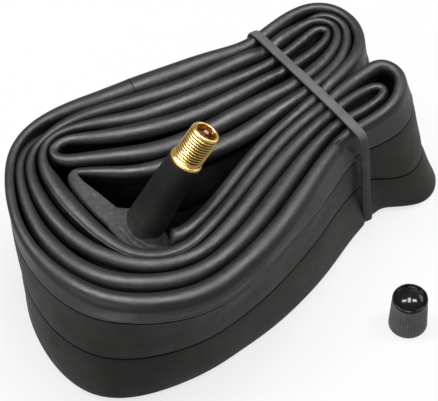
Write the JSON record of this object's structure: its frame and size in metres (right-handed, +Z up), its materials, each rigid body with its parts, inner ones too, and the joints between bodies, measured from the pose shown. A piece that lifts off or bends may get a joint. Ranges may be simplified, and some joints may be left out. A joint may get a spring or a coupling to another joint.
{
  "type": "bicycle inner tube",
  "caption": "Deflated bicycle inner tube folded on edge and held by a rubber band, with a threaded brass valve, a working valve core and a loose screw cap.",
  "frame": {"origin": "on the floor under the middle of everything, cap included", "axes": "+X along the folded layers, towards the end with the rubber band; +Z up; the loose cap stands on the -Y side"},
  "size_m": [0.1112, 0.0856, 0.0629],
  "materials": {
    "tube_rubber": "black butyl rubber, semi-gloss on the folds, dusty with talc on the flat faces",
    "valve_rubber": "moulded black rubber, matt",
    "brass": "bright turned brass",
    "core_brass": "plain brass, darker",
    "pin_metal": "worn pinkish brass",
    "spring_steel": "spring wire",
    "seal_rubber": "soft black rubber",
    "cap_plastic": "black plastic, satin ribbed skirt and glossy dome",
    "band_rubber": "dark grey rubber band, matt"
  },
  "bodies": {
    "folded_tube": {"tube": "tube_rubber", "valve_patch": "tube_rubber", "valve_rubber": "valve_rubber", "valve_stem": "brass", "rubber_band": "band_rubber"},
    "core_body": {"core_barrel": "core_brass", "core_gasket": "seal_rubber", "core_spring": "spring_steel"},
    "core_head": {"core_plug": "core_brass"},
    "core_valve_pin": {"core_pin": "pin_metal", "core_cup": "core_brass", "core_seal": "seal_rubber"},
    "screw_cap": {"cap_shell": "cap_plastic", "cap_seal": "seal_rubber"}
  },
  "joints": [
    {"name": "core_lift", "type": "slide", "parent": "folded_tube", "child": "core_body", "axis": [0.5393, -0.0758, 0.8387], "range_m": [0, 0.00353]},
    {"name": "plug_turn", "type": "hinge", "parent": "core_body", "child": "core_head", "pos_m": [-0.01309, -0.0004, 0.05564], "axis": [0.5393, -0.0758, 0.8387], "range_deg": [0, 1800.1]},
    {"name": "pin_press", "type": "slide", "parent": "core_body", "child": "core_valve_pin", "axis": [-0.5393, 0.0758, -0.8387], "range_m": [0, 0.0015], "stiffness_N_per_m": 800, "springref_m": -0.001, "deforming": ["core_spring"]},
    {"name": "cap_lift", "type": "slide", "parent": "folded_tube", "child": "screw_cap", "axis": [0, 0, 1], "range_m": [0, 0.06]}
  ],
  "couplings": [
    {"joint": "plug_turn", "follows": "core_lift", "rad_per_m": 8904.7}
  ]
}
